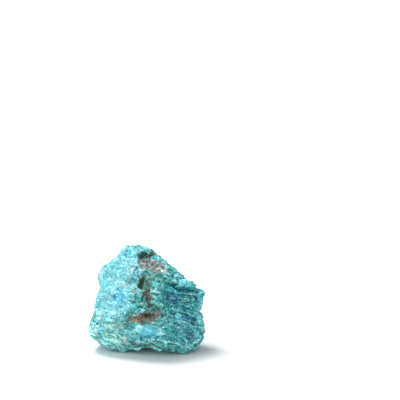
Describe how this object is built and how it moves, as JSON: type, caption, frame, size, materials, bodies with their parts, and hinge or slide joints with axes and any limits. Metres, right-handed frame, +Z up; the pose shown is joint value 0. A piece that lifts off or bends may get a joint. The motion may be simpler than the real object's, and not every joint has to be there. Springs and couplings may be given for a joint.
{
  "type": "rough blue apatite stone",
  "caption": "Rough chunk of blue apatite: a blocky broken mineral specimen with a smooth front face, a stack of thin dipping sheets on one side and flat feet to rest on.",
  "frame": {"origin": "centre of the bounding box's base, on the surface the stone rests on", "axes": "+Z up, -Y towards the viewer of the pictured side, +X to the right of that side, which is the longest way"},
  "size_m": [0.0444, 0.0362, 0.0401],
  "materials": {
    "blue_apatite": "rough broken mineral, pale aqua to deep teal with brown stains, dull to waxy"
  },
  "bodies": {
    "root": {"apatite_stone": "blue_apatite"}
  },
  "joints": []
}
